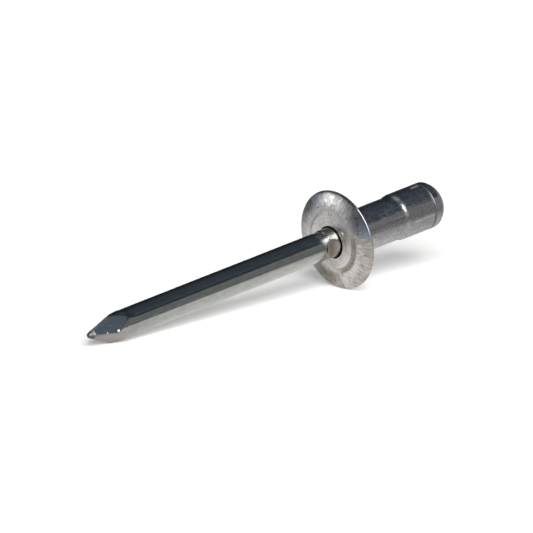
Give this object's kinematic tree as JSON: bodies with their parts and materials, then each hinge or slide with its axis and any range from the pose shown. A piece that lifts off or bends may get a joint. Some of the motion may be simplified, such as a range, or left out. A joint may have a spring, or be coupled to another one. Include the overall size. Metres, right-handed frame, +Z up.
{
  "type": "blind rivet",
  "caption": "Unset blind rivet: domed-flange tubular shell with a stepped shank on a headed pulling mandrel with a blunt four-sided point, lying on its flange rim and mandrel.",
  "frame": {"origin": "on the surface that the rivet lies on, below the middle of its bounding box", "axes": "+Z up; +X runs from the mandrel's point to its head, level with the surface; the rivet's own axis leans up from +X by 6.59 degrees in the XZ plane, because it rests on the flange rim and a corner of the mandrel's point"},
  "size_m": [0.0484, 0.0102, 0.0102],
  "materials": {
    "shell": "cold-headed bare aluminium, tumbled, satin with fine brush marks on the flange",
    "mandrel": "bright drawn steel wire, polished along its length, darker on the flats of the point"
  },
  "bodies": {
    "root": {"rivet_body": "shell", "mandrel": "mandrel"}
  },
  "joints": []
}
